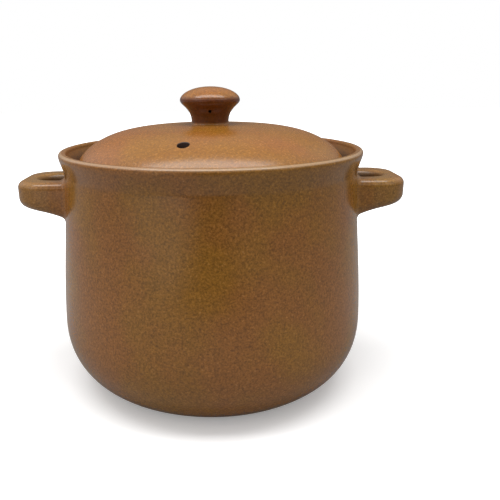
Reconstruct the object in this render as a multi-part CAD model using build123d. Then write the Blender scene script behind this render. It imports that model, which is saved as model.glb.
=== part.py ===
"""Stoneware sand pot with two loop lugs and a loose domed lid.

The frame is millimetres with +Z up. The origin is the middle of the foot, on the table.
+X points to the right handle and -Y to the front. The five pieces are the clay parts that
are formed one by one and luted together before firing: the pot, two handles, the lid and
the knob. The lid rests on a ledge inside the mouth.
"""
import os
from math import hypot, sqrt

from build123d import *

# Pot, outside
mouth_diameter = 195.0       # over the lip
rim_height = 155.0           # table to lip
belly_bulge = 2.0            # widest part of the wall, beyond the mouth
belly_height = 44.5
foot_inset = 30.5            # edge of the flat ring that stands on the table, in from the mouth
neck_inset = 3.3             # wall drawn in below the lip
neck_drop = 15.0             # lip down to the neck
lip_thickness = 5.0
lip_rounding = 2.2           # outer corner of the lip
lip_inner_rounding = 1.8
foot_ring_width = 9.0
foot_recess = 1.5            # depth of the hollow under the foot

# Pot, inside
wall = 6.5
floor_thickness = 8.0
inner_foot_inset = 10.0      # flat middle of the floor, in from the foot's edge
ledge_depth = 12.0           # lip down to the ledge that carries the lid
ledge_height = 5.0           # upright inner edge of the ledge
ledge_slope_height = 9.0     # below it the ledge runs back into the wall
ledge_rounding = 1.5

# Shape of the pot's curves, as shares of the stretch that each curve spans
corner_foot_share = 0.20
corner_belly_share = 0.76
side_belly_share = 0.32
side_neck_share = 0.21
flare_neck_share = 0.25
flare_lip_share = 0.20

# Lid
lid_clearance = 0.8          # all round, to the wall above the ledge and to the ledge's edge
ledge_width = 7.3            # ledge under the lid's edge, from the wall inwards
lid_crown_height = 14.8      # top of the dome above the lip
lid_thickness = 5.5
lid_edge_height = 0.5        # dome starts this far above the ledge
skirt_depth = 4.0            # ring under the lid that drops inside the ledge
skirt_thickness = 4.0
skirt_rounding = 1.2

# Shape of the dome, as shares of its radius and of its height
dome_crown_share = 0.555
dome_shoulder_share = 0.800
dome_shoulder_drop_share = 0.023
dome_edge_share = 0.335

# Steam hole in the lid
vent_diameter = 6.8
vent_bearing = 256.6         # degrees round from +X, so near the front
vent_place_share = 0.678     # way along the dome's curve, from the crown to the edge
vent_rounding = 0.6          # the glaze runs round both rims of the hole

# Knob
knob_height = 23.7
knob_radius = 19.3
knob_cap_height = 8.5        # top of the knob down to its widest
knob_neck_radius = 12.0
knob_wall = 4.6
knob_hollow_neck_radius = 6.6
slip_ring_size = 1.0         # bead of slip round the knob's foot
pinhole_diameter = 1.8
pinhole_height = 8.6         # above the crown of the lid
pinhole_bearing = 270.0      # degrees round from +X, the front

# Shape of the knob's two curves, as shares
knob_top_share = 0.615
knob_edge_share = 0.532
knob_under_share = 0.237
knob_neck_share = 0.692

# Handles
handle_length = 27.0         # beyond the mouth
handle_width = 56.0          # front to back
handle_drop = 18.3           # lip down to the handle's flat top
handle_end_height = 16.5
handle_root_height = 23.0    # at the wall, before the blend
handle_under_radius = 90.0   # hollow sweep of the underside, seen from the front
handle_corner_radius = 18.0  # outer corners, seen from above
handle_top_rounding = 4.5
handle_bottom_rounding = 6.0
handle_draft = 1.0           # degrees, so that the clay leaves its mould
finger_gap_width = 23.0      # between the two arms of the loop
finger_gap_end = 12.5        # thickness of the loop's outer bar
finger_gap_rounding = 4.8
finger_gap_corner_radius = 11.0
blend_radius = 4.0           # slip smoothed into the corner at the wall
slip_film = 0.05             # slip between a lug and the wall

overrun = 10.0               # how far cutting tools and roots run past a face

# Worked out from the sizes above
mouth_radius = mouth_diameter / 2
belly_radius = mouth_radius + belly_bulge
foot_radius = mouth_radius - foot_inset
inner_foot_radius = foot_radius - inner_foot_inset
neck_radius = mouth_radius - neck_inset
neck_height = rim_height - neck_drop
vent_radius = vent_diameter / 2
pinhole_radius = pinhole_diameter / 2
lip_inner_radius = mouth_radius - lip_thickness
ledge_top = rim_height - ledge_depth
ledge_bottom = ledge_top - ledge_height
seat_radius = neck_radius - wall - lid_clearance / 2
ledge_inner_radius = seat_radius - ledge_width
lid_radius = seat_radius - lid_clearance
skirt_radius = ledge_inner_radius - lid_clearance
crown_height = rim_height + lid_crown_height
handle_top = rim_height - handle_drop
handle_reach = mouth_radius + handle_length


def turned(outline):
    """Turn a closed outline, drawn as radius and height, round the upright axis."""
    return revolve(Plane.XZ * make_face(outline), Axis.Z)


def outer_wall(film=0):
    """Outside of the pot from its foot up over the lip's outer corner, a film further out if asked."""
    foot = foot_radius + film
    belly = belly_radius + film
    neck = neck_radius + film
    mouth = mouth_radius + film
    lip_corner = rim_height - lip_rounding
    side_height = neck_height - belly_height
    flare_height = lip_corner - neck_height
    corner = Bezier(
        (foot, 0),
        (foot + corner_foot_share * (belly - foot), 0),
        (belly, belly_height * (1 - corner_belly_share)),
        (belly, belly_height),
    )
    side = Bezier(
        (belly, belly_height),
        (belly, belly_height + side_belly_share * side_height),
        (neck, neck_height - side_neck_share * side_height),
        (neck, neck_height),
    )
    flare = Bezier(
        (neck, neck_height),
        (neck, neck_height + flare_neck_share * flare_height),
        (mouth, lip_corner - flare_lip_share * flare_height),
        (mouth, lip_corner),
    )
    lip = RadiusArc((mouth, lip_corner), (mouth - lip_rounding, rim_height), -lip_rounding)
    return [corner, side, flare, lip]


def pot_body():
    """The pot: outer wall, rounded lip, lid ledge, smooth inside and a shallow foot."""
    inner_belly_radius = belly_radius - wall
    inner_neck_radius = neck_radius - wall
    ledge_root = ledge_bottom - ledge_slope_height
    lip_start = (mouth_radius - lip_rounding, rim_height)
    lip_end = (lip_inner_radius + lip_inner_rounding, rim_height)
    lip_inner_corner = (lip_inner_radius, rim_height - lip_inner_rounding)
    corner_width = inner_belly_radius - inner_foot_radius
    corner_height = belly_height - floor_thickness
    side_height = ledge_root - belly_height
    flare_height = rim_height - lip_inner_rounding - ledge_top
    recess_radius = foot_radius - foot_ring_width

    lip_top = Line(lip_start, lip_end)
    lip_inner = RadiusArc(lip_end, lip_inner_corner, -lip_inner_rounding)
    inner_flare = Bezier(
        lip_inner_corner,
        (lip_inner_radius, rim_height - lip_inner_rounding - flare_lip_share * flare_height),
        (seat_radius, ledge_top + flare_neck_share * flare_height),
        (seat_radius, ledge_top),
    )
    ledge = Polyline(
        (seat_radius, ledge_top),
        (ledge_inner_radius, ledge_top),
        (ledge_inner_radius, ledge_bottom),
        (inner_neck_radius, ledge_root),
    )
    inner_side = Bezier(
        (inner_neck_radius, ledge_root),
        (inner_neck_radius, ledge_root - side_neck_share * side_height),
        (inner_belly_radius, belly_height + side_belly_share * side_height),
        (inner_belly_radius, belly_height),
    )
    inner_corner = Bezier(
        (inner_belly_radius, belly_height),
        (inner_belly_radius, belly_height - corner_belly_share * corner_height),
        (inner_foot_radius + corner_foot_share * corner_width, floor_thickness),
        (inner_foot_radius, floor_thickness),
    )
    middle = Polyline(
        (inner_foot_radius, floor_thickness),
        (0, floor_thickness),
        (0, foot_recess),
        (recess_radius - foot_recess, foot_recess),
        (recess_radius, 0),
        (foot_radius, 0),
    )
    pot = turned(outer_wall() + [lip_top, lip_inner, inner_flare, ledge, inner_side, inner_corner, middle])
    ledge_edges = pot.edges().filter_by(GeomType.CIRCLE).filter_by(
        lambda edge: abs(edge.radius - ledge_inner_radius) < lid_clearance / 2
    )
    return fillet(ledge_edges, ledge_rounding)


def pot_block(film=0):
    """The pot's outside as one full block, to shape what is luted on to it."""
    middle = Polyline(
        (mouth_radius + film - lip_rounding, rim_height),
        (0, rim_height),
        (0, 0),
        (foot_radius + film, 0),
    )
    return turned(outer_wall(film) + [middle])


def underside_sweep():
    """Cylinder that hollows a lug's underside, through its end and its root at the wall."""
    end_height = handle_top - handle_end_height
    root_height = handle_top - handle_root_height
    run = handle_reach - neck_radius
    rise = end_height - root_height
    chord = hypot(run, rise)
    offset = sqrt(handle_under_radius ** 2 - (chord / 2) ** 2) / chord
    centre_x = (handle_reach + neck_radius) / 2 + rise * offset
    centre_z = (end_height + root_height) / 2 - run * offset
    return Pos(centre_x, 0, centre_z) * Rot(90, 0, 0) * Cylinder(handle_under_radius, 2 * handle_width)


def handle_bar():
    """One lug as it leaves its mould: a drafted loop with a swept underside and round edges."""
    root = neck_radius - overrun
    deep = handle_root_height + overrun
    top_plane = Plane.XY.offset(handle_top)
    outline = Rectangle(handle_reach, handle_width, align=(Align.MIN, Align.CENTER))
    outline = fillet(outline.vertices().group_by(Axis.X)[-1], handle_corner_radius)
    gap_reach = handle_reach - finger_gap_end
    gap = Rectangle(gap_reach, finger_gap_width, align=(Align.MIN, Align.CENTER))
    gap = fillet(gap.vertices().group_by(Axis.X)[-1], finger_gap_corner_radius)
    bar = extrude(top_plane * outline, -deep, taper=handle_draft)
    bar -= extrude(top_plane * gap, -deep - overrun, taper=-handle_draft)
    bar -= Box(2 * root, 2 * handle_width, 2 * rim_height)
    bar -= underside_sweep()

    def beyond_root(edge):
        return edge.center().X > root + overrun / 4

    def round_gap(edge):
        spot = edge.center()
        margin = finger_gap_end / 4
        return spot.X < gap_reach + margin and abs(spot.Y) < finger_gap_width / 2 + margin

    def top_edges(solid):
        return solid.faces().sort_by(Axis.Z)[-1].edges().filter_by(beyond_root)

    bar = fillet(top_edges(bar).filter_by(lambda edge: not round_gap(edge)), handle_top_rounding)
    bar = fillet(top_edges(bar).filter_by(round_gap), finger_gap_rounding)
    swept = bar.faces().filter_by(GeomType.CYLINDER).sort_by(lambda face: face.radius)[-1]
    bottom_edges = swept.edges().filter_by(beyond_root)
    bar = fillet(bottom_edges.filter_by(lambda edge: not round_gap(edge)), handle_bottom_rounding)
    swept = bar.faces().filter_by(GeomType.CYLINDER).sort_by(lambda face: face.radius)[-1]
    return fillet(swept.edges().filter_by(beyond_root).filter_by(round_gap), finger_gap_rounding)


def right_handle():
    """The lug on the +X side, luted to the wall with its slip smoothed into the corner."""
    bar = handle_bar()
    reach = Pos(neck_radius - 2 * overrun, 0, handle_top)
    near_root = reach * Box(
        handle_reach, 2 * handle_width, 2 * (handle_root_height + 2 * overrun),
        align=(Align.MIN, Align.CENTER, Align.CENTER),
    )
    wall_piece = pot_block() & near_root
    luted = wall_piece + bar

    def in_seam(edge):
        spots = [Vertex(*tuple(edge.position_at(share))) for share in (0.1, 0.5, 0.9)]
        gaps = [max(wall_piece.distance_to(spot), bar.distance_to(spot)) for spot in spots]
        return max(gaps) < slip_film and edge.center().X > neck_radius - overrun / 2

    return fillet(luted.edges().filter_by(in_seam), blend_radius) - pot_block(slip_film)


def left_handle():
    """The same lug, half a turn round the pot."""
    return Rot(0, 0, 180) * right_handle()


def dome_curve(radius, crown, edge):
    """The lid's dome, from its crown on the axis out to its steep edge."""
    rise = crown - edge
    return Bezier(
        (0, crown),
        (dome_crown_share * radius, crown),
        (dome_shoulder_share * radius, crown - dome_shoulder_drop_share * rise),
        (radius, edge + dome_edge_share * rise),
        (radius, edge),
    )


def outer_dome():
    return dome_curve(lid_radius, crown_height, ledge_top + lid_edge_height)


def dome_block():
    """Everything under the dome's outer face, to shape what is luted on to it."""
    edge = ledge_top + lid_edge_height
    sides = Polyline((lid_radius, edge), (lid_radius, 0), (0, 0), (0, crown_height))
    return turned([outer_dome(), sides])


def around(bearing, solid):
    """Turn a solid that was made on the +X side to its bearing round the upright axis."""
    return Rot(0, 0, bearing) * solid


def steam_hole():
    """Drill for the steam hole, straight down through the dome."""
    spot = outer_dome() @ vent_place_share
    return around(vent_bearing, Pos(spot.X, 0, spot.Y) * Cylinder(vent_radius, 2 * (lid_thickness + overrun)))


def lid():
    """The lid: a dome, a flat seat for the ledge, a locating skirt and one steam hole."""
    edge = ledge_top + lid_edge_height
    skirt_bottom = ledge_top - skirt_depth
    inner_radius = skirt_radius - skirt_thickness
    inner_dome = dome_curve(inner_radius, crown_height - lid_thickness, skirt_bottom)
    under = Polyline(
        (lid_radius, edge),
        (lid_radius - lid_edge_height, ledge_top),
        (skirt_radius, ledge_top),
        (skirt_radius, skirt_bottom),
        (inner_radius, skirt_bottom),
    )
    middle = Line((0, crown_height - lid_thickness), (0, crown_height))
    dome = turned([outer_dome(), under, inner_dome, middle])
    skirt_edges = dome.edges().group_by(Axis.Z)[0]
    drilled = fillet(skirt_edges, skirt_rounding) - steam_hole()
    cylinders = drilled.faces().filter_by(GeomType.CYLINDER)
    bore = cylinders.sort_by(lambda face: face.radius)[0]
    rims = bore.edges().filter_by(lambda edge: edge.geom_type != GeomType.LINE)
    return fillet(rims, vent_rounding)


def knob_curves(top, cap_height, radius, throat, foot):
    """Half outline of a mushroom form: over the cap to its widest, then in to the neck's foot."""
    widest = top - cap_height
    neck_length = widest - foot
    over_cap = Bezier(
        (0, top),
        (knob_top_share * radius, top),
        (radius, widest + (1 - knob_edge_share) * cap_height),
        (radius, widest),
    )
    under_cap = Bezier(
        (radius, widest),
        (radius, widest - knob_under_share * neck_length),
        (throat, foot + knob_neck_share * neck_length),
        (throat, foot),
    )
    return [over_cap, under_cap]


def knob_hollow():
    """Room inside the knob, open to the lid."""
    top = crown_height + knob_height - knob_wall
    low = crown_height - overrun
    radius = knob_radius - knob_wall
    throat = knob_hollow_neck_radius
    curves = knob_curves(top, knob_cap_height - knob_wall, radius, throat, crown_height)
    foot = Polyline((throat, crown_height), (throat, low), (0, low), (0, top))
    return turned(curves + [foot])


def pinhole():
    """Drill for the hole that lets the air out of the hollow in the kiln."""
    place = Pos(knob_radius, 0, crown_height + pinhole_height) * Rot(0, 90, 0)
    return around(pinhole_bearing, place * Cylinder(pinhole_radius, 2 * knob_radius))


def lid_knob():
    """The knob: a hollow mushroom on the crown, with a pinhole in the front of its neck."""
    top = crown_height + knob_height
    ring_top = crown_height + slip_ring_size
    ring_radius = knob_neck_radius + slip_ring_size
    low = crown_height - slip_ring_size
    curves = knob_curves(top, knob_cap_height, knob_radius, knob_neck_radius, ring_top)
    ring = RadiusArc((knob_neck_radius, ring_top), (ring_radius, crown_height), slip_ring_size)
    foot = Polyline((ring_radius, crown_height), (ring_radius, low), (0, low), (0, top))
    return turned(curves + [ring, foot]) - knob_hollow() - pinhole() - dome_block()


def parts():
    """Every piece by its name, each in its resting place."""
    makers = (pot_body, left_handle, right_handle, lid, lid_knob)
    return {maker.__name__: maker() for maker in makers}


if __name__ == "__main__":
    os.makedirs("parts", exist_ok=True)
    for name, shape in parts().items():
        shape.label = name
        export_step(shape, "parts/" + name + ".step")
        print(name, round(shape.volume), [round(size, 2) for size in shape.bounding_box().size])
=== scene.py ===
"""Looks of a glazed stoneware sand pot with a loose domed lid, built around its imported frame.

Everything is in metres in the frame of the model: +Z up, the front is -Y and the right
handle points to +X. The turned pieces are fine meshes from the same curves as the solids, and
the lugs are copies of their solids' meshes. All of them have the small unevenness of hand
work. Every piece has a satin speckled glaze, and the faces that stand or rest on something
are bare clay.
"""

from math import atan2, comb, cos, hypot, pi, radians, sin

import bmesh
import bpy
from mathutils import Matrix, Vector, noise


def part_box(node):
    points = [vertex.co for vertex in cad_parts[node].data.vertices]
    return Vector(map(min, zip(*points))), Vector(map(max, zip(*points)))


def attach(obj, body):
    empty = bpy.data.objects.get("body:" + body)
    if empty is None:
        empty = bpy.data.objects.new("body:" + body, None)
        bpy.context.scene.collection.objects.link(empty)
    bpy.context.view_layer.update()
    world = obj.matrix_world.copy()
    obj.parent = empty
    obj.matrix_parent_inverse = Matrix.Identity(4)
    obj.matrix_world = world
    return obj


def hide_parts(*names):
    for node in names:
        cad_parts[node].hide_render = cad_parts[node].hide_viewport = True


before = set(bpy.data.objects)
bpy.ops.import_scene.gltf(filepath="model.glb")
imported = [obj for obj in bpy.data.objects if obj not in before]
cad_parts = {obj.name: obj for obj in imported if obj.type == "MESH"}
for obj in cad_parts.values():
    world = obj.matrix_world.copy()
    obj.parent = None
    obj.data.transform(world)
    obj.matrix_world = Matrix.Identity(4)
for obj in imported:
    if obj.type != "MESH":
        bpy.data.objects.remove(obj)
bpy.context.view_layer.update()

# Sizes read from the frame
POT_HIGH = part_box("pot_body")[1]
LID_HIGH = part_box("lid")[1]
KNOB_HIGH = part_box("lid_knob")[1]
LUG_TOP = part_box("right_handle")[1].z
BELLY_RADIUS = POT_HIGH.x
RIM_HEIGHT = POT_HIGH.z
LID_RADIUS = LID_HIGH.x
CROWN_HEIGHT = LID_HIGH.z
KNOB_RADIUS = KNOB_HIGH.x
KNOB_TOP = KNOB_HIGH.z

# Pot, outside
BELLY_BULGE = 0.002         # widest part of the wall, beyond the mouth
BELLY_HEIGHT = 0.0445
FOOT_INSET = 0.0305         # edge of the flat ring that stands on the table, in from the mouth
NECK_INSET = 0.0033         # wall drawn in below the lip
NECK_DROP = 0.015           # lip down to the neck
LIP_THICKNESS = 0.005
LIP_ROUNDING = 0.0022       # outer corner of the lip
LIP_INNER_ROUNDING = 0.0018
FOOT_RING_WIDTH = 0.009
FOOT_RECESS = 0.0015        # depth of the hollow under the foot
MOUTH_RADIUS = BELLY_RADIUS - BELLY_BULGE
FOOT_RADIUS = MOUTH_RADIUS - FOOT_INSET
NECK_RADIUS = MOUTH_RADIUS - NECK_INSET
NECK_HEIGHT = RIM_HEIGHT - NECK_DROP

# Pot, inside
WALL = 0.0065
FLOOR = 0.008
INNER_FOOT_INSET = 0.010    # flat middle of the floor, in from the foot's edge
LEDGE_DEPTH = 0.012         # lip down to the ledge that carries the lid
LEDGE_HEIGHT = 0.005        # upright inner edge of the ledge
LEDGE_SLOPE_HEIGHT = 0.009  # below it the ledge runs back into the wall
LEDGE_WIDTH = 0.0073        # ledge under the lid's edge, from the wall inwards
LEDGE_ROUNDING = 0.0015
LID_CLEARANCE = 0.0008      # all round, to the wall above the ledge and to the ledge's edge
INNER_FOOT_RADIUS = FOOT_RADIUS - INNER_FOOT_INSET
LEDGE_TOP = RIM_HEIGHT - LEDGE_DEPTH
LEDGE_BOTTOM = LEDGE_TOP - LEDGE_HEIGHT
LEDGE_ROOT = LEDGE_BOTTOM - LEDGE_SLOPE_HEIGHT
SEAT_RADIUS = NECK_RADIUS - WALL - LID_CLEARANCE / 2
LEDGE_INNER_RADIUS = SEAT_RADIUS - LEDGE_WIDTH

# Lid
LID_THICKNESS = 0.0055
LID_EDGE_HEIGHT = 0.0005    # dome starts this far above the ledge
LID_EDGE_INSET = 0.0005     # and the seat this far in from the dome's edge
SKIRT_DEPTH = 0.004         # ring under the lid that drops inside the ledge
SKIRT_THICKNESS = 0.004
SKIRT_ROUNDING = 0.0012
LID_EDGE = LEDGE_TOP + LID_EDGE_HEIGHT
SKIRT_BOTTOM = LEDGE_TOP - SKIRT_DEPTH
SKIRT_RADIUS = LEDGE_INNER_RADIUS - LID_CLEARANCE
SKIRT_INNER_RADIUS = SKIRT_RADIUS - SKIRT_THICKNESS

# Steam hole in the lid
VENT_RADIUS = 0.0034
VENT_BEARING = 256.6        # degrees round from +X, so near the front
VENT_REACH = 0.06475        # from the axis to the middle of the hole
VENT_ROUNDING = 0.0006      # both rims of the hole
VENT_MIDDLE = (VENT_REACH * cos(radians(VENT_BEARING)), VENT_REACH * sin(radians(VENT_BEARING)), 0)

# Knob
KNOB_CAP_HEIGHT = 0.0085    # top of the knob down to its widest
KNOB_NECK_RADIUS = 0.012
KNOB_SUNK = 0.0006          # its closed underside lies this far inside the lid
SLIP_RING = 0.0010          # bead of slip round the knob's foot
PINHOLE_RADIUS = 0.0009
PINHOLE_HEIGHT = 0.0086     # above the crown of the lid
PINHOLE_DEPTH = 0.006
KNOB_WIDEST = KNOB_TOP - KNOB_CAP_HEIGHT

# Shapes of the curves, as shares of the stretch that each one spans
CORNER_SHARES = (0.20, 0.76)
SIDE_SHARES = (0.32, 0.21)
FLARE_SHARES = (0.25, 0.20)
DOME_SHARES = (0.555, 0.800, 0.023, 0.335)
KNOB_CAP_SHARES = (0.615, 0.468)
KNOB_NECK_SHARES = (0.237, 0.692)

# Drills: the pinhole's has a soft mouth, given as shares of its radius and depths into the neck
DRILL_FLARE = 0.0003        # the steam hole's drill widens this far past its rounded rims
DRILL_RISE = 0.0006         # and its ends stand this far off the dome's faces
DRILL_LIFT = 0.00002        # where its rounding starts, so that it meets them cleanly
PINHOLE_STAGES = ((1.7, -0.0006), (1.35, 0.0), (1.12, 0.00012), (1.0, 0.0004), (1.0, PINHOLE_DEPTH))

# Fineness of the meshes
ROUND_STEPS = 288
KNOB_ROUND_STEPS = 144
VENT_SIDES = 48
PINHOLE_SIDES = 24
ROUNDING_STEPS = 8
CURVE_STEPS = 400           # of the curves that only serve to look up heights
ON_AXIS = 0.000001          # a point nearer to the axis than this is on it
WELD_DISTANCE = 0.000002

# Unevenness of the clay, with its waves per radian round the axis and per metre elsewhere
POT_UNEVEN = 0.00022
WAVES_AROUND = 2.1
WAVES_UP = 26
RINGS_AROUND = 0.84
RINGS_UP = 150
RINGS_START = 7             # where in the noise they begin
RINGS_SHARE = 0.2           # the rest is the waves'
POT_FADE = (0.02, 0.06)     # each fade sets in between two distances from the axis
LID_UNEVEN = 0.00018
LID_WAVES = 24
LID_WAVES_START = 3.3
LID_MIDDLE_FADE = (0.012, 0.030)
LID_EDGE_FADE = (LID_RADIUS - 0.001, LID_RADIUS - 0.014)
KNOB_UNEVEN = 0.00010
KNOB_WAVES_AROUND = 1.7
KNOB_WAVES_UP = 60
KNOB_FADE = (0.002, 0.010)
SHORTEST_REACH = 0.01       # spots nearer to the axis than this move in less

# The wall meets the lugs' feathered edges a hair further out, within these heights and angles
SEAM_LIFT = 0.00007
SEAM_BOTTOM = (0.100, 0.105)
SEAM_TOP = (0.145, 0.140)
SEAM_SIDE = (0.48, 0.40)    # radians to either side of a lug's middle


def bezier(points, steps):
    """Points along a curve, without its first, so that stretches join end to end."""
    degree = len(points) - 1
    found = []
    for step in range(1, steps + 1):
        t = step / steps
        weights = [comb(degree, i) * (1 - t) ** (degree - i) * t ** i for i in range(degree + 1)]
        found.append(tuple(sum(w * p[axis] for w, p in zip(weights, points)) for axis in (0, 1)))
    return found


def line(start, end, steps):
    """Points along a straight stretch, without its first."""
    return bezier([start, end], steps)


def arc(centre, radius, start, end, steps):
    """Points along an arc from one angle to another in degrees, without its first."""
    found = []
    for step in range(1, steps + 1):
        angle = radians(start + (end - start) * step / steps)
        found.append((centre[0] + radius * cos(angle), centre[1] + radius * sin(angle)))
    return found


def upright(start, end, shares):
    """Control points of a curve that is upright at both ends."""
    rise = end[1] - start[1]
    return [start, (start[0], start[1] + shares[0] * rise), (end[0], end[1] - shares[1] * rise), end]


def corner(start, end, shares):
    """Control points of a curve that starts level and ends upright."""
    run = end[0] - start[0]
    rise = end[1] - start[1]
    return [start, (start[0] + shares[0] * run, start[1]), (end[0], end[1] - shares[1] * rise), end]


def round_angles(count):
    """Angles spread evenly round a circle."""
    return [2 * pi * step / count for step in range(count)]


def linked(name, data):
    """A new object of the scene."""
    piece = bpy.data.objects.new(name, data)
    bpy.context.scene.collection.objects.link(piece)
    return piece


def turned(name, outline, steps=ROUND_STEPS):
    """Mesh made by turning an outline of (radius, height) points round the upright axis."""
    verts = []
    rows = []
    for radius, height in outline:
        if radius < ON_AXIS:
            rows.append([len(verts)])
            verts.append((0, 0, height))
            continue
        rows.append(list(range(len(verts), len(verts) + steps)))
        verts += [(radius * cos(angle), radius * sin(angle), height) for angle in round_angles(steps)]
    faces = []
    for low, high in zip(rows, rows[1:]):
        for step in range(steps):
            after = (step + 1) % steps
            ring = [low[step % len(low)], low[after % len(low)],
                    high[after % len(high)], high[step % len(high)]]
            faces.append(list(dict.fromkeys(ring)))
    mesh = bpy.data.meshes.new(name)
    mesh.from_pydata(verts, [], faces)
    mesh.validate()
    mesh.update()
    return linked(name, mesh)


def outward(piece):
    """Turn every face of a closed mesh to the outside."""
    shape = bmesh.new()
    shape.from_mesh(piece.data)
    bmesh.ops.recalc_face_normals(shape, faces=shape.faces)
    shape.to_mesh(piece.data)
    shape.free()


def pot_outside():
    """Outline of the pot from the middle of its underside up to the outer edge of its lip."""
    recess = FOOT_RADIUS - FOOT_RING_WIDTH
    belly = (BELLY_RADIUS, BELLY_HEIGHT)
    neck = (NECK_RADIUS, NECK_HEIGHT)
    lip = (MOUTH_RADIUS, RIM_HEIGHT - LIP_ROUNDING)
    outline = [(0, FOOT_RECESS)]
    outline += line((0, FOOT_RECESS), (recess - FOOT_RECESS, FOOT_RECESS), steps=24)
    outline += line((recess - FOOT_RECESS, FOOT_RECESS), (recess, 0), steps=5)
    outline += line((recess, 0), (FOOT_RADIUS, 0), steps=6)
    outline += bezier(corner((FOOT_RADIUS, 0), belly, CORNER_SHARES), steps=50)
    outline += bezier(upright(belly, neck, SIDE_SHARES), steps=70)
    outline += bezier(upright(neck, lip, FLARE_SHARES), steps=18)
    return outline


def pot_lip():
    """Outline over the lip, from its outer edge to its inner one."""
    inner = MOUTH_RADIUS - LIP_THICKNESS + LIP_INNER_ROUNDING
    outline = arc((MOUTH_RADIUS - LIP_ROUNDING, RIM_HEIGHT - LIP_ROUNDING), LIP_ROUNDING, 0, 90, steps=9)
    outline += line((MOUTH_RADIUS - LIP_ROUNDING, RIM_HEIGHT), (inner, RIM_HEIGHT), steps=3)
    outline += arc((inner, RIM_HEIGHT - LIP_INNER_ROUNDING), LIP_INNER_ROUNDING, 90, 180, steps=8)
    return outline


def pot_ledge():
    """Outline from the lip's inner edge down to the ledge, over it and back into the wall."""
    small = LEDGE_ROUNDING
    lip = (MOUTH_RADIUS - LIP_THICKNESS, RIM_HEIGHT - LIP_INNER_ROUNDING)
    seat = (SEAT_RADIUS, LEDGE_TOP)
    edge = (LEDGE_INNER_RADIUS, LEDGE_BOTTOM + small / 2)
    root = NECK_RADIUS - WALL
    outline = bezier(upright(lip, seat, FLARE_SHARES[::-1]), steps=16)
    outline += line(seat, (LEDGE_INNER_RADIUS + small, LEDGE_TOP), steps=8)
    outline += arc((LEDGE_INNER_RADIUS + small, LEDGE_TOP - small), small, 90, 180, steps=6)
    outline += line((LEDGE_INNER_RADIUS, LEDGE_TOP - small), edge, steps=4)
    outline += bezier([edge, (LEDGE_INNER_RADIUS, LEDGE_BOTTOM - small), (root, LEDGE_ROOT + 2 * small),
                       (root, LEDGE_ROOT)], steps=14)
    return outline


def pot_inside():
    """Outline from under the ledge down the inner wall to the middle of the floor."""
    root = (NECK_RADIUS - WALL, LEDGE_ROOT)
    belly = (BELLY_RADIUS - WALL, BELLY_HEIGHT)
    foot = (INNER_FOOT_RADIUS, FLOOR)
    outline = bezier(upright(root, belly, SIDE_SHARES[::-1]), steps=60)
    outline += bezier(corner(foot, belly, CORNER_SHARES)[::-1], steps=36)
    outline += line(foot, (0, FLOOR), steps=24)
    return outline


def dome(radius, crown, edge, steps):
    """The dome's curve from the crown on the axis to its steep edge."""
    rise = crown - edge
    return [(0, crown)] + bezier([(0, crown), (DOME_SHARES[0] * radius, crown),
                                  (DOME_SHARES[1] * radius, crown - DOME_SHARES[2] * rise),
                                  (radius, edge + DOME_SHARES[3] * rise), (radius, edge)], steps)


def dome_top(steps):
    """Upper face of the lid, from its crown to its edge."""
    return dome(LID_RADIUS, CROWN_HEIGHT, LID_EDGE, steps)


def dome_under(steps):
    """Lower face of the lid, from its crown to the inside of the skirt."""
    return dome(SKIRT_INNER_RADIUS, CROWN_HEIGHT - LID_THICKNESS, SKIRT_BOTTOM, steps)


def lid_outline():
    """Closed outline of the lid, over the dome, round the seat and skirt, and back under the dome."""
    small = SKIRT_ROUNDING
    seat = LID_RADIUS - LID_EDGE_INSET
    fillet = (SKIRT_RADIUS + small / 2, LEDGE_TOP - small / 2)
    foot = SKIRT_BOTTOM + small
    outline = dome_top(steps=90)
    outline += line((LID_RADIUS, LID_EDGE), (seat, LEDGE_TOP), steps=3)
    outline += line((seat, LEDGE_TOP), (fillet[0], LEDGE_TOP), steps=6)
    outline += arc(fillet, small / 2, 90, 180, steps=4)
    outline += line((SKIRT_RADIUS, fillet[1]), (SKIRT_RADIUS, foot), steps=3)
    outline += arc((SKIRT_RADIUS - small, foot), small, 0, -90, steps=5)
    outline += line((SKIRT_RADIUS - small, SKIRT_BOTTOM), (SKIRT_INNER_RADIUS + small, SKIRT_BOTTOM), steps=3)
    outline += arc((SKIRT_INNER_RADIUS + small, foot), small, 270, 180, steps=5)
    under = [spot for spot in dome_under(steps=72) if spot[1] > foot]
    return outline + under[::-1]


def knob_outline():
    """Outline of the knob from the crown of its cap, round its foot and to the axis below."""
    crown = (0, KNOB_TOP)
    widest = (KNOB_RADIUS, KNOB_WIDEST)
    neck = (KNOB_NECK_RADIUS, CROWN_HEIGHT + SLIP_RING)
    foot = KNOB_NECK_RADIUS + SLIP_RING
    sunk = CROWN_HEIGHT - KNOB_SUNK
    outline = [crown]
    outline += bezier(corner(crown, widest, KNOB_CAP_SHARES), steps=40)
    outline += bezier(upright(widest, neck, KNOB_NECK_SHARES), steps=44)
    outline += arc((foot, neck[1]), SLIP_RING, 180, 270, steps=6)
    outline += line((foot, CROWN_HEIGHT), (foot, sunk), steps=2)
    outline += line((foot, sunk), (0, sunk), steps=6)
    return outline


def radius_at(curve, height):
    """Radius of the knob's outline at a height, where it is the neck or the cap."""
    for (r0, z0), (r1, z1) in zip(curve, curve[1:]):
        if z1 <= height <= z0 and r1 > KNOB_NECK_RADIUS / 2:
            return r1 + (r0 - r1) * (height - z1) / (z0 - z1)
    return KNOB_NECK_RADIUS


def height_at(curve, radius):
    """Height of a dome's curve at a radius."""
    for (r0, z0), (r1, z1) in zip(curve, curve[1:]):
        if r0 <= radius <= r1:
            return z0 + (z1 - z0) * (radius - r0) / (r1 - r0)
    return curve[-1][1]


def smoothstep(low, high, value):
    """Soft step from 0 at the first place to 1 at the second."""
    t = min(max((value - low) / (high - low), 0), 1)
    return t * t * (3 - 2 * t)


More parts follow.
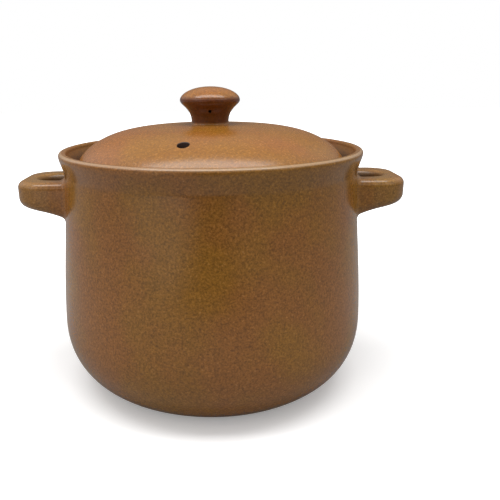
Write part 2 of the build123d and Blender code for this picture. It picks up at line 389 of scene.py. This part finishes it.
def wave(spot, around, up, start=0):
    """Smooth noise between 0 and 1 that runs round the upright axis."""
    reach = hypot(spot.x, spot.y)
    at = Vector((around * spot.x / reach, around * spot.y / reach, up * spot.z + start))
    return 0.5 + 0.5 * noise.noise(at)


def wall_give(spot):
    """How far the pot's wall and its lugs give way inwards at a spot: shallow, broad and round."""
    if hypot(spot.x, spot.y) < POT_FADE[0]:
        return 0.0
    broad = wave(spot, WAVES_AROUND, WAVES_UP)
    rings = wave(spot, RINGS_AROUND, RINGS_UP, RINGS_START)
    return POT_UNEVEN * ((1 - RINGS_SHARE) * broad + RINGS_SHARE * rings)


def lid_give(x, y):
    """How far the lid gives way downwards at a place."""
    reach = hypot(x, y)
    broad = 0.5 + 0.5 * noise.noise(Vector((LID_WAVES * x, LID_WAVES * y, LID_WAVES_START)))
    return LID_UNEVEN * broad * smoothstep(*LID_MIDDLE_FADE, reach) * smoothstep(*LID_EDGE_FADE, reach)


def moved_in(spot, give):
    """A spot moved towards the upright axis."""
    share = 1 - give / max(hypot(spot.x, spot.y), SHORTEST_REACH)
    return Vector((spot.x * share, spot.y * share, spot.z))


def uneven_pot(piece):
    """Give the pot its unevenness, and lift its wall a hair under the lugs' feathered edges."""
    outside = NECK_RADIUS - WALL / 2
    for vert in piece.data.vertices:
        spot = vert.co.copy()
        reach = hypot(spot.x, spot.y)
        give = wall_give(spot) * smoothstep(*POT_FADE, reach)
        if reach > outside:
            bearing = abs(atan2(spot.y, abs(spot.x)))
            seam = smoothstep(*SEAM_BOTTOM, spot.z) * smoothstep(*SEAM_TOP, spot.z)
            give -= SEAM_LIFT * seam * smoothstep(*SEAM_SIDE, bearing)
        vert.co = moved_in(spot, give)


def uneven_lug(piece):
    """Give a lug the unevenness of the wall that it is joined to."""
    for vert in piece.data.vertices:
        vert.co = moved_in(vert.co, wall_give(vert.co))


def uneven_lid(piece):
    """Give the lid its unevenness."""
    for vert in piece.data.vertices:
        vert.co.z -= lid_give(vert.co.x, vert.co.y)


def uneven_knob(piece):
    """Give the knob its unevenness, apart from the middle of its cap."""
    for vert in piece.data.vertices:
        reach = hypot(vert.co.x, vert.co.y)
        if reach > KNOB_FADE[0]:
            broad = wave(vert.co, KNOB_WAVES_AROUND, KNOB_WAVES_UP)
            vert.co = moved_in(vert.co, KNOB_UNEVEN * broad * smoothstep(*KNOB_FADE, reach))


def tube_between(name, rings):
    """Closed mesh through rings of points, with flat ends."""
    count = len(rings[0])
    verts = [spot for ring in rings for spot in ring]
    faces = [tuple(range(count))[::-1], tuple(range(len(verts) - count, len(verts)))]
    for row in range(len(rings) - 1):
        low = row * count
        for step in range(count):
            after = (step + 1) % count
            faces.append((low + step, low + after, low + count + after, low + count + step))
    mesh = bpy.data.meshes.new(name)
    mesh.from_pydata(verts, [], faces)
    piece = linked(name, mesh)
    outward(piece)
    return piece


def cut_away(piece, cutter):
    """Take a cutter's form out of a piece."""
    cut = piece.modifiers.new("cut", "BOOLEAN")
    cut.operation = "DIFFERENCE"
    cut.solver = "EXACT"
    cut.object = cutter
    graph = bpy.context.evaluated_depsgraph_get()
    made = bpy.data.meshes.new_from_object(piece.evaluated_get(graph))
    piece.modifiers.clear()
    piece.data = made
    bpy.data.objects.remove(cutter)


def steam_hole_profile():
    """Radii of the steam hole's drill round a rim, and how far outside the dome's face each lies."""
    profile = [(VENT_RADIUS + VENT_ROUNDING + DRILL_FLARE, DRILL_RISE)]
    for step in range(ROUNDING_STEPS + 1):
        t = radians(90 * step / ROUNDING_STEPS)
        profile.append((VENT_RADIUS + VENT_ROUNDING * (1 - sin(t)),
                        DRILL_LIFT - VENT_ROUNDING * (1 - cos(t))))
    return profile


def steam_hole_cutter():
    """Upright drill that follows the dome's two faces, so that both rims come out rounded."""
    rings = []
    for curve, side in ((dome_top(CURVE_STEPS), 1), (dome_under(CURVE_STEPS), -1)):
        for radius, rise in steam_hole_profile()[::side]:
            ring = []
            for angle in round_angles(VENT_SIDES):
                x = VENT_MIDDLE[0] + radius * cos(angle)
                y = VENT_MIDDLE[1] + radius * sin(angle)
                ring.append((x, y, height_at(curve, hypot(x, y)) - lid_give(x, y) + side * rise))
            rings.append(ring)
    return tube_between("steam_hole_cutter", rings)


def pinhole_cutter():
    """Short drill into the front of the knob's neck, with a soft mouth."""
    height = CROWN_HEIGHT + PINHOLE_HEIGHT
    surface = radius_at(knob_outline(), height)
    rings = []
    for share, depth in PINHOLE_STAGES:
        radius = share * PINHOLE_RADIUS
        rings.append([(radius * cos(angle), depth - surface, height + radius * sin(angle))
                      for angle in round_angles(PINHOLE_SIDES)])
    return tube_between("pinhole_cutter", rings)


def lug_piece(node):
    """A lug with the surface of its solid, as one smooth skin."""
    piece = linked(node + "_glazed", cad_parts[node].data.copy())
    piece.data.materials.clear()
    shape = bmesh.new()
    shape.from_mesh(piece.data)
    bmesh.ops.remove_doubles(shape, verts=shape.verts, dist=WELD_DISTANCE)
    shape.to_mesh(piece.data)
    shape.free()
    return piece


def grey(level):
    """Opaque grey of a level."""
    return (level, level, level, 1)


class Graph:
    """Small helper that builds the nodes of one material or world."""

    def __init__(self, owner):
        owner.use_nodes = True
        self.nodes = owner.node_tree.nodes
        self.links = owner.node_tree.links

    def feed(self, socket, value):
        """Give an input a value or another node's output."""
        if isinstance(value, bpy.types.NodeSocket):
            self.links.new(value, socket)
        else:
            socket.default_value = value

    def add(self, kind, **values):
        """A node with its settings, and with its inputs by position or name."""
        inputs = values.pop("inputs", {})
        node = self.nodes.new(kind)
        for name, value in values.items():
            setattr(node, name, value)
        for place, value in inputs.items():
            self.feed(node.inputs[place], value)
        return node

    def maths(self, operation, first, second=0.5, third=0.5):
        """Result of a sum on single values."""
        return self.add("ShaderNodeMath", operation=operation,
                        inputs={0: first, 1: second, 2: third}).outputs[0]

    def times(self, first, second):
        """Product of two values."""
        return self.maths("MULTIPLY", first, second)

    def plus(self, first, second):
        """Sum of two values."""
        return self.maths("ADD", first, second)

    def larger(self, first, second):
        """The larger of two values."""
        return self.maths("MAXIMUM", first, second)

    def size(self, value):
        """A value without its sign."""
        return self.maths("ABSOLUTE", value)

    def vectors(self, operation, output, *inputs):
        """One output of a sum on vectors."""
        node = self.add("ShaderNodeVectorMath", operation=operation, inputs=dict(enumerate(inputs)))
        return node.outputs[output]

    def split(self, vector):
        """The three parts of a vector."""
        return self.add("ShaderNodeSeparateXYZ", inputs={0: vector}).outputs

    def coordinates(self, kind):
        """Where the shaded point is, or the way that it faces."""
        return self.add("ShaderNodeTexCoord").outputs[kind]

    def seen(self):
        """1 for what the camera sees straight, and 0 for what light and reflections see."""
        return self.add("ShaderNodeLightPath").outputs["Is Camera Ray"]

    def mix(self, factor, first, second, blend="MIX"):
        """Mix two colours."""
        return self.add("ShaderNodeMix", data_type="RGBA", blend_type=blend,
                        inputs={0: factor, 6: first, 7: second}).outputs[2]

    def tinted(self, mask, hue, tint):
        """A colour that is multiplied by a tint where a mask is 1."""
        return self.mix(mask, hue, self.mix(1.0, hue, tint, "MULTIPLY"))

    def ramp(self, value, stops):
        """Grey levels along a value."""
        node = self.add("ShaderNodeValToRGB", inputs={0: value})
        elements = node.color_ramp.elements
        while len(elements) < len(stops):
            elements.new(0.5)
        for element, (place, level) in zip(elements, stops):
            element.position = place
            element.color = grey(level)
        return node.outputs[0]

    def band(self, value, start, end, out_start=0.0, out_end=1.0):
        """Soft step of a value between two places, which may also run downwards."""
        node = self.add("ShaderNodeMapRange", interpolation_type="SMOOTHSTEP",
                        inputs={0: value, 1: start, 2: end, 3: out_start, 4: out_end})
        return node.outputs[0]

    def grain(self, vector, scale, detail, rough):
        """Noise at a scale per metre."""
        return self.add("ShaderNodeTexNoise", inputs={"Vector": vector, "Scale": scale, "Detail": detail,
                                                      "Roughness": rough}).outputs[0]


# Grain of the glaze and the clay: scale per metre, detail and roughness of each noise
CLOUDS = (24.0, 2.0, 0.5)
DRIFT = (9.0, 1.0, 0.5)
BLOTCHES = (170.0, 2.0, 0.5)
FINE = (820.0, 2.0, 0.6)
DUST = (1500.0, 1.0, 0.5)
SAND = (1400.0, 3.0, 0.7)
GRIT = (1500.0, 4.0, 0.8)
WANDER = (60.0, 2.0, 0.5)
IRON_SCALE = 330.0
IRON_EDGE = (0.22, 0.10)
IRON_CHOSEN = (0.72, 0.80)   # only the cells above this have an iron speck

# Colours of the glaze
POT_GOLD = (0.261, 0.113, 0.0135, 1)
POT_RED = (0.261, 0.100, 0.0185, 1)
POT_SPECKLE = 0.35
LID_GOLD = (0.303, 0.124, 0.014, 1)
LID_RED = (0.303, 0.108, 0.018, 1)
LID_SPECKLE = 0.27
GOLD_TO_RED = (0.36, 0.66)
GRAIN_LOW = 0.30             # the grains' noises mostly lie between these two
GRAIN_MIDDLE = 0.50
GRAIN_HIGH = 0.70
DRIFT_LEVELS = (0.93, 1.06)
BLOTCH_LEVELS = (0.96, 1.04)
BEIGE = (0.60, 0.42, 0.25, 1)
BEIGE_BAND = (0.62, 0.78)
BEIGE_SHARE = 0.12
IRON = (0.10, 0.035, 0.008, 1)
IRON_SHARE = 0.35

# Tints of the glaze: painted shade in the bowl, finger holes, knob's neck and steam hole, a partly painted
# highlight on the lip's corner, and the lugs' greyer tone
# Painted shade in the bowl below the ledge, and down the rim's inner wall from under the lip to the ledge
BOWL_SHADE_TINT = (0.62, 0.56, 0.50, 1)
RIM_WALL_TOP_SHADE = (0.78, 0.74, 0.60, 1)
RIM_WALL_DEEP_SHADE = (0.24, 0.20, 0.09, 1)
LUG_TINT = (0.97, 1.08, 1.38, 1)
# Painted shade in the lugs' finger holes
FINGER_HOLE_SHADE = (0.36, 0.32, 0.26, 1)
# Painted shade on the knob's neck, under its cap
KNOB_NECK_SHADE = (0.42, 0.27, 0.18, 1)
# Painted shade in the steam hole
STEAM_HOLE_SHADE = (0.030, 0.008, 0.002, 1)
# Paler glaze on the lip's inner corner: thinner glaze there, and partly a painted highlight
THIN_GLAZE_HIGHLIGHT = (0.62, 0.47, 0.32, 1)
THIN_GLAZE_HIGHLIGHT_SHARE = 0.35

# Colours of the bare clay
SAND_DARK = (0.50, 0.34, 0.20, 1)
SAND_PALE = (0.66, 0.49, 0.33, 1)
SAND_BAND = (0.35, 0.65)
SAND_IRON = (0.20, 0.10, 0.05, 1)
SAND_IRON_SHARE = 0.7

# Where the glaze's tints and its painted shade change, as the start and the end of each soft step
BOWL_FLOOR_LEAN = (0.4, 0.7)
BOWL_FLOOR_HEIGHT = (0.030, 0.020)
BOWL_WALL_FACING = (-0.45, -0.80)
BOWL_WALL_REACH = (MOUTH_RADIUS - 0.0020, MOUTH_RADIUS - 0.0030)
ABOVE_LEDGE = (LEDGE_TOP - 0.004, LEDGE_TOP)
UNDER_LIP = (RIM_HEIGHT - 0.0012, RIM_HEIGHT - 0.0090)
LIP_CORNER_REACH = (MOUTH_RADIUS - 0.0024, MOUTH_RADIUS - 0.0016)
LIP_CORNER_HEIGHT = (RIM_HEIGHT - 0.0014, RIM_HEIGHT - 0.0008)
LUG_REACH = (BELLY_RADIUS, BELLY_RADIUS + 0.004)
FINGER_HOLE_MIDDLE = BELLY_RADIUS + 0.0015
FINGER_HOLE_EDGE = (0.0145, 0.0116)
FINGER_HOLE_TOP = (LUG_TOP - 0.0012, LUG_TOP - 0.0080)
FINGER_HOLE_BOTTOM = (LUG_TOP - 0.0230, LUG_TOP - 0.0170)
STEAM_HOLE_EDGE = (VENT_RADIUS + 0.0005, VENT_RADIUS + 0.0001)
KNOB_NECK_TOP = (KNOB_WIDEST + 0.0036, KNOB_WIDEST + 0.0004)
KNOB_NECK_FOOT = (CROWN_HEIGHT + 0.0005, CROWN_HEIGHT + 0.0020)
LID_BELOW_KNOB = (CROWN_HEIGHT + 0.002, CROWN_HEIGHT)

# Where the clay is bare
WANDER_WIDTH = 0.0016        # the glaze's edge wanders up and down within this width
BARE_FOOT = (0.0017, 0.0012)
BARE_RECESS_REACH = (FOOT_RADIUS - 0.001, FOOT_RADIUS - 0.003)
BARE_RECESS_HEIGHT = (0.0040, 0.0030)
BARE_LEDGE_REACH = (SEAT_RADIUS + 0.0002, SEAT_RADIUS - 0.0002)
BARE_LEDGE_DEPTH = (0.0014, 0.0010)
BARE_SEAT = (LEDGE_TOP + 0.0009, LEDGE_TOP + 0.0004)

# Gloss and relief
GLAZE_INDEX = 1.5
GLAZE_ROUGHNESS = 0.20
BLOTCH_ROUGHNESS = (0.03, -0.02)
SPECK_ROUGHNESS = 0.07
SPECK_BAND = (0.55, 0.75)
LID_SATIN = 0.05             # the lid is this much rougher than the knob
THICK_ROUGHNESS = 0.55
BARE_ROUGHNESS = 0.85
FINE_RELIEF = 0.45
DUST_RELIEF = 0.2
BLOTCH_RELIEF = 0.8
IRON_RELIEF = -0.25
RELIEF_STRENGTH = 0.45
RELIEF_HEIGHT = 0.00006
GRIT_HEIGHT = 0.00015


class Surface:
    """Where each point of a piece lies, and the grain of its glaze there, as outputs of nodes."""

    def __init__(self, graph):
        self.place = graph.coordinates("Object")
        self.x, self.y, self.height = graph.split(self.place)
        self.flat = graph.add("ShaderNodeCombineXYZ", inputs={0: self.x, 1: self.y, 2: 0.0}).outputs[0]
        self.reach = graph.vectors("LENGTH", "Value", self.flat)
        self.blotches = graph.grain(self.place, *BLOTCHES)
        self.fine = graph.grain(self.place, *FINE)
        self.dust = graph.grain(self.place, *DUST)
        cells = graph.add("ShaderNodeTexVoronoi", inputs={"Vector": self.place, "Scale": IRON_SCALE,
                                                          "Randomness": 1.0})
        chosen = graph.add("ShaderNodeSeparateColor", inputs={0: cells.outputs["Color"]}).outputs[0]
        self.iron = graph.times(graph.band(cells.outputs["Distance"], *IRON_EDGE),
                                graph.band(chosen, *IRON_CHOSEN))
        wander = graph.grain(self.place, *WANDER)
        self.wander = graph.maths("MULTIPLY_ADD", wander, WANDER_WIDTH, -WANDER_WIDTH / 2)


def glaze_colour(graph, at, gold, red, speckle):
    """Golden to reddish brown in soft clouds, with fine speckle, beige specks and iron specks."""
    clouds = graph.grain(at.place, *CLOUDS)
    drift = graph.grain(at.place, *DRIFT)
    hue = graph.mix(graph.band(clouds, *GOLD_TO_RED), gold, red)
    for value, stops in (
            (drift, ((GRAIN_LOW, DRIFT_LEVELS[0]), (GRAIN_HIGH, DRIFT_LEVELS[1]))),
            (at.blotches, ((GRAIN_LOW, BLOTCH_LEVELS[0]), (GRAIN_HIGH, BLOTCH_LEVELS[1]))),
            (at.fine, ((GRAIN_LOW, 1 - speckle), (GRAIN_MIDDLE, 1.0), (GRAIN_HIGH, 1 + speckle))),
            (at.dust, ((GRAIN_LOW, 1 - speckle / 2), (GRAIN_HIGH, 1 + speckle / 2)))):
        hue = graph.mix(1.0, hue, graph.ramp(value, stops), "MULTIPLY")
    hue = graph.mix(graph.band(at.fine, *BEIGE_BAND, 0.0, BEIGE_SHARE), hue, BEIGE)
    return graph.mix(graph.times(at.iron, IRON_SHARE), hue, IRON)


def clay_colour(graph, at):
    """Sandy clay with iron specks."""
    sand = graph.mix(graph.band(graph.grain(at.place, *SAND), *SAND_BAND), SAND_DARK, SAND_PALE)
    return graph.mix(graph.times(at.iron, SAND_IRON_SHARE), sand, SAND_IRON)


def bowl_shade(graph, at):
    """Mask of painted shade inside the pot: its floor looks up, and its wall and lip look to the axis."""
    normal = graph.coordinates("Normal")
    outwards = graph.vectors("NORMALIZE", "Vector", at.flat)
    facing = graph.vectors("DOT_PRODUCT", "Value", normal, outwards)
    lean = graph.split(normal)[2]
    floor = graph.times(graph.band(lean, *BOWL_FLOOR_LEAN), graph.band(at.height, *BOWL_FLOOR_HEIGHT))
    wall = graph.times(graph.band(facing, *BOWL_WALL_FACING), graph.band(at.reach, *BOWL_WALL_REACH))
    return graph.larger(floor, wall)


def finger_hole_shade(graph, at):
    """Mask of painted shade in the finger holes of both lugs, deeper below their top edge."""
    off = graph.larger(graph.maths("SUBTRACT", graph.size(at.x), FINGER_HOLE_MIDDLE), 0.0)
    away = graph.maths("SQRT", graph.plus(graph.times(off, off), graph.times(at.y, at.y)))
    hole = graph.times(graph.band(away, *FINGER_HOLE_EDGE), graph.band(at.height, *FINGER_HOLE_TOP))
    return graph.times(hole, graph.band(at.height, *FINGER_HOLE_BOTTOM))


def pot_details(graph, at, hue):
    """Glaze with painted shade in the bowl and the finger holes, the lugs' greyer tone, and a paler lip
    corner of thinner glaze that is partly a painted highlight.
    """
    # Painted shade inside the pot: the rim's inner wall darkens from under the lip to just above the ledge,
    # and the bowl below the ledge is darker
    inside = bowl_shade(graph, at)
    lip = graph.mix(graph.band(at.height, *UNDER_LIP), RIM_WALL_TOP_SHADE, RIM_WALL_DEEP_SHADE)
    hue = graph.tinted(inside, hue, graph.mix(graph.band(at.height, *ABOVE_LEDGE), BOWL_SHADE_TINT, lip))
    hue = graph.tinted(graph.band(graph.size(at.x), *LUG_REACH), hue, LUG_TINT)
    # Painted shade in the finger holes of the lugs
    holes = finger_hole_shade(graph, at)
    hue = graph.tinted(holes, hue, FINGER_HOLE_SHADE)
    # Paler lip corner: thinner glaze, and partly a painted highlight
    thin_glaze_highlight = graph.times(graph.band(at.reach, *LIP_CORNER_REACH),
                       graph.band(at.height, *LIP_CORNER_HEIGHT, 0.0, THIN_GLAZE_HIGHLIGHT_SHARE))
    return graph.mix(thin_glaze_highlight, hue, THIN_GLAZE_HIGHLIGHT), graph.larger(inside, holes)


def lid_details(graph, at, hue):
    """Glaze with painted shade in the steam hole and on the knob's neck under its cap."""
    away = graph.vectors("DISTANCE", "Value", at.flat, VENT_MIDDLE)
    # Painted shade: the steam hole's walls are painted almost black
    hole = graph.band(away, *STEAM_HOLE_EDGE)
    hue = graph.mix(hole, hue, STEAM_HOLE_SHADE)
    # Painted shade on the knob's neck, under its cap
    neck = graph.times(graph.band(at.height, *KNOB_NECK_TOP), graph.band(at.height, *KNOB_NECK_FOOT))
    return graph.tinted(neck, hue, KNOB_NECK_SHADE), hole


def pot_bare(graph, at):
    """Mask of the bare clay on the foot, in its recess and on the ledge."""
    foot = graph.band(graph.plus(at.height, at.wander), *BARE_FOOT)
    recess = graph.times(graph.band(at.reach, *BARE_RECESS_REACH),
                         graph.band(at.height, *BARE_RECESS_HEIGHT))
    off = graph.size(graph.maths("SUBTRACT", at.height, LEDGE_TOP))
    across = graph.plus(at.reach, graph.times(at.wander, 0.5))
    ledge = graph.times(graph.band(off, *BARE_LEDGE_DEPTH), graph.band(across, *BARE_LEDGE_REACH))
    return graph.larger(graph.larger(foot, ledge), recess)


def lid_bare(graph, at):
    """Mask of the bare clay on the lid's seat and skirt."""
    return graph.band(graph.plus(at.height, at.wander), *BARE_SEAT)


def roughness(graph, at, satin, shade_and_dull, bare):
    """Roughness of the glaze, which is duller where shade is painted into its colour, and of the bare clay.
    """
    rough, smooth = BLOTCH_ROUGHNESS
    gloss = graph.ramp(at.blotches, ((GRAIN_LOW, GLAZE_ROUGHNESS + rough),
                                     (GRAIN_HIGH, GLAZE_ROUGHNESS + smooth)))
    gloss = graph.mix(graph.band(at.fine, *SPECK_BAND), gloss, grey(GLAZE_ROUGHNESS + SPECK_ROUGHNESS))
    gloss = graph.plus(gloss, satin)
    gloss = graph.mix(shade_and_dull, gloss, grey(THICK_ROUGHNESS))
    return graph.mix(bare, gloss, grey(BARE_ROUGHNESS))


def relief(graph, at, bare):
    """Bumps of the glaze, and the grit of the bare clay over them."""
    height = graph.maths("MULTIPLY_ADD", at.fine, FINE_RELIEF, graph.times(at.dust, DUST_RELIEF))
    height = graph.maths("MULTIPLY_ADD", at.blotches, BLOTCH_RELIEF, height)
    height = graph.maths("MULTIPLY_ADD", at.iron, IRON_RELIEF, height)
    bump = graph.add("ShaderNodeBump", inputs={"Strength": RELIEF_STRENGTH, "Distance": RELIEF_HEIGHT,
                                               "Height": height}).outputs[0]
    grit = graph.grain(at.place, *GRIT)
    return graph.add("ShaderNodeBump", inputs={"Strength": bare, "Distance": GRIT_HEIGHT, "Height": grit,
                                               "Normal": bump}).outputs[0]


def glazed(name):
    """A new material, with its graph, its shader and its surface."""
    material = bpy.data.materials.new(name)
    graph = Graph(material)
    return material, graph, graph.nodes["Principled BSDF"], Surface(graph)


def finished(graph, shader, at, hue, satin, shade_and_dull, bare):
    """Put the colour, the roughness and the relief of a glazed piece into its shader."""
    graph.feed(shader.inputs["Base Color"], graph.mix(bare, hue, clay_colour(graph, at)))
    graph.feed(shader.inputs["Roughness"], roughness(graph, at, satin, shade_and_dull, bare))
    graph.feed(shader.inputs["Normal"], relief(graph, at, bare))
    shader.inputs["IOR"].default_value = GLAZE_INDEX


def pot_material():
    """Glaze of the pot and its lugs."""
    material, graph, shader, at = glazed("pot_glaze")
    hue = glaze_colour(graph, at, POT_GOLD, POT_RED, POT_SPECKLE)
    hue, shade_and_dull = pot_details(graph, at, hue)
    finished(graph, shader, at, hue, 0.0, shade_and_dull, pot_bare(graph, at))
    return material


def lid_material():
    """Glaze of the lid and its knob."""
    material, graph, shader, at = glazed("lid_glaze")
    hue = glaze_colour(graph, at, LID_GOLD, LID_RED, LID_SPECKLE)
    hue, shade_and_dull = lid_details(graph, at, hue)
    satin = graph.band(at.height, *LID_BELOW_KNOB, 0.0, LID_SATIN)
    finished(graph, shader, at, hue, satin, shade_and_dull, lid_bare(graph, at))
    return material


def dress(piece, node, body, material):
    """Put a finished piece in the place of its solid."""
    for face in piece.data.polygons:
        face.use_smooth = True
    piece.data.materials.clear()
    piece.data.materials.append(material)
    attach(piece, body)
    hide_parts(node)


# Lamp
STRIP_WIDTH = 1.2
STRIP_DEPTH = 0.38
STRIP_PLACE = (-0.03, -0.15, 0.98)
STRIP_TILT = 8.0
STRIP_WATTS = 7.3

# Room as light and reflections see it, by the direction in which they leave
CEILING_LEVEL = 0.70
CEILING_STOPS = ((0.12, 0.0), (0.35, 0.20), (0.52, 0.45), (0.72, 0.75), (1.0, 1.0))
LOW_FRONT = 0.05
LOW_BACK = 0.12
TOWARDS_BACK = (-0.3, 0.5)
NEAR_HORIZON = (0.40, 0.12)
SIDE_GLOW = 0.50
SIDE_LOW_SHARE = 0.35
TOWARDS_SIDE = (0.30, 0.75)
SIDE_RISE = (0.05, 0.38)
PANEL_GLOW = 0.85
PANEL_BOTTOM = (0.26, 0.36)
PANEL_TOP = (0.62, 0.48)
TOWARDS_FRONT = (-0.15, -0.45)
LEFT_LEAN = 0.2              # the room is this much brighter to the left and darker to the right

# Floor as light and reflections see it
FLOOR_HALF = 3.0
FLOOR_LEFT = 0.42
FLOOR_RIGHT = 0.34
FLOOR_ACROSS = (-0.30, 0.30)
FLOOR_FRONT = 0.10
FRONT_DEPTH = (-0.28, -0.50)
FRONT_ACROSS = (0.30, 0.10)
# A painted patch of window light on the floor, which the glaze reflects
FLOOR_WINDOW_LIGHT = 0.85
WINDOW_DEPTH = (-0.44, -0.58)
WINDOW_ACROSS = (-0.18, -0.30)
FLOOR_ROUGHNESS = 0.9

# Floor as the camera sees it: pale, and glowing up to white away from the pot
FLOOR_PALE = 0.95
FLOOR_GLOW = (0.22, 1.0)
GLOW_REACH = (0.10, 0.60)


def room():
    """White to the camera, and a dim room with a pale ceiling to the glaze."""
    world = bpy.data.worlds.new("studio")
    bpy.context.scene.world = world
    graph = Graph(world)
    background = graph.nodes["Background"]
    x, y, z = graph.split(graph.coordinates("Generated"))
    ceiling = graph.ramp(z, [(place, share * CEILING_LEVEL) for place, share in CEILING_STOPS])
    horizon = graph.times(graph.band(y, *TOWARDS_BACK, 0.0, LOW_BACK), graph.band(z, *NEAR_HORIZON))
    ceiling = graph.plus(ceiling, graph.plus(horizon, LOW_FRONT))
    sides = graph.times(graph.band(graph.size(x), *TOWARDS_SIDE),
                        graph.band(z, *SIDE_RISE, SIDE_LOW_SHARE * SIDE_GLOW, SIDE_GLOW))
    panel = graph.times(graph.band(z, *PANEL_BOTTOM), graph.band(z, *PANEL_TOP, 0.0, PANEL_GLOW))
    panel = graph.times(panel, graph.band(y, *TOWARDS_FRONT))
    lean = graph.maths("MULTIPLY_ADD", x, -LEFT_LEAN, 1.0)
    level = graph.mix(1.0, graph.plus(ceiling, graph.plus(sides, panel)), lean, "MULTIPLY")
    graph.feed(background.inputs["Color"], graph.mix(graph.seen(), level, grey(1)))
    background.inputs["Strength"].default_value = 1.0


def floor_material():
    """Almost white to the camera, and grey with a dark front and a painted patch of window light to the
    glaze.
    """
    material = bpy.data.materials.new("floor")
    graph = Graph(material)
    shader = graph.nodes["Principled BSDF"]
    shader.inputs["Roughness"].default_value = FLOOR_ROUGHNESS
    shader.inputs["Specular IOR Level"].default_value = 0.0
    place = graph.coordinates("Object")
    x, y = graph.split(place)[:2]
    level = graph.band(x, *FLOOR_ACROSS, FLOOR_LEFT, FLOOR_RIGHT)
    front = graph.times(graph.band(y, *FRONT_DEPTH), graph.band(graph.size(x), *FRONT_ACROSS))
    level = graph.mix(front, level, grey(FLOOR_FRONT))
    # Painted patch of window light on the floor
    window_light_patch = graph.times(graph.band(x, *WINDOW_ACROSS), graph.band(y, *WINDOW_DEPTH))
    level = graph.mix(window_light_patch, level, grey(FLOOR_WINDOW_LIGHT))
    seen = graph.seen()
    graph.feed(shader.inputs["Base Color"], graph.mix(seen, level, grey(FLOOR_PALE)))
    glow = graph.band(graph.vectors("LENGTH", "Value", place), *GLOW_REACH, *FLOOR_GLOW)
    graph.feed(shader.inputs["Emission Color"], graph.mix(seen, grey(0), glow))
    shader.inputs["Emission Strength"].default_value = 1.0
    return material


def floor_and_lamp():
    """The floor that the pot stands on, and one long soft lamp over it."""
    half = FLOOR_HALF
    mesh = bpy.data.meshes.new("floor")
    mesh.from_pydata([(-half, -half, 0), (half, -half, 0), (half, half, 0), (-half, half, 0)],
                     [], [(0, 1, 2, 3)])
    mesh.materials.append(floor_material())
    floor = linked("floor", mesh)

    lamp = bpy.data.lights.new("strip", "AREA")
    lamp.shape = "RECTANGLE"
    lamp.size = STRIP_WIDTH
    lamp.size_y = STRIP_DEPTH
    lamp.energy = STRIP_WATTS
    strip = linked("strip", lamp)
    strip.location = STRIP_PLACE
    strip.rotation_euler = (radians(STRIP_TILT), 0, 0)


# Camera fitted to the photograph
CAMERA_DISTANCE = 0.400
CAMERA_HEIGHT = 0.2010
CAMERA_PITCH = 14.84
CAMERA_ROLL = 0.71
CLIP_START = 0.01
SENSOR_MILLIMETRES = 36.0
FOCAL_PIXELS = 608.7
PHOTO_PIXELS = 500
CENTRE_X_PIXEL = 211.57
CENTRE_Y_PIXEL = 235.4


def camera():
    """The camera of the photograph, with the middle of its lens off the middle of the picture."""
    data = bpy.data.cameras.new("camera")
    data.sensor_width = SENSOR_MILLIMETRES
    data.lens = FOCAL_PIXELS / PHOTO_PIXELS * data.sensor_width
    data.shift_x = (PHOTO_PIXELS / 2 - CENTRE_X_PIXEL) / PHOTO_PIXELS
    data.shift_y = -(PHOTO_PIXELS / 2 - CENTRE_Y_PIXEL) / PHOTO_PIXELS
    data.clip_start = CLIP_START
    eye = linked("camera", data)
    tilt = Matrix.Rotation(radians(90 - CAMERA_PITCH), 4, "X")
    roll = Matrix.Rotation(radians(-CAMERA_ROLL), 4, "Z")
    eye.matrix_world = Matrix.Translation((0, -CAMERA_DISTANCE, CAMERA_HEIGHT)) @ tilt @ roll
    bpy.context.scene.camera = eye


camera()
room()
floor_and_lamp()

pot_glaze = pot_material()
lid_glaze = lid_material()

pot = turned("pot_glazed", pot_outside() + pot_lip() + pot_ledge() + pot_inside())
uneven_pot(pot)
outward(pot)
dress(pot, "pot_body", "pot", pot_glaze)

lid = turned("lid_glazed", lid_outline())
uneven_lid(lid)
outward(lid)
cut_away(lid, steam_hole_cutter())
dress(lid, "lid", "lid_with_knob", lid_glaze)

knob = turned("knob_glazed", knob_outline(), KNOB_ROUND_STEPS)
uneven_knob(knob)
outward(knob)
cut_away(knob, pinhole_cutter())
dress(knob, "lid_knob", "lid_with_knob", lid_glaze)

for side in ("left_handle", "right_handle"):
    lug = lug_piece(side)
    uneven_lug(lug)
    dress(lug, side, "pot", pot_glaze)

bpy.context.scene.view_settings.view_transform = "Standard"
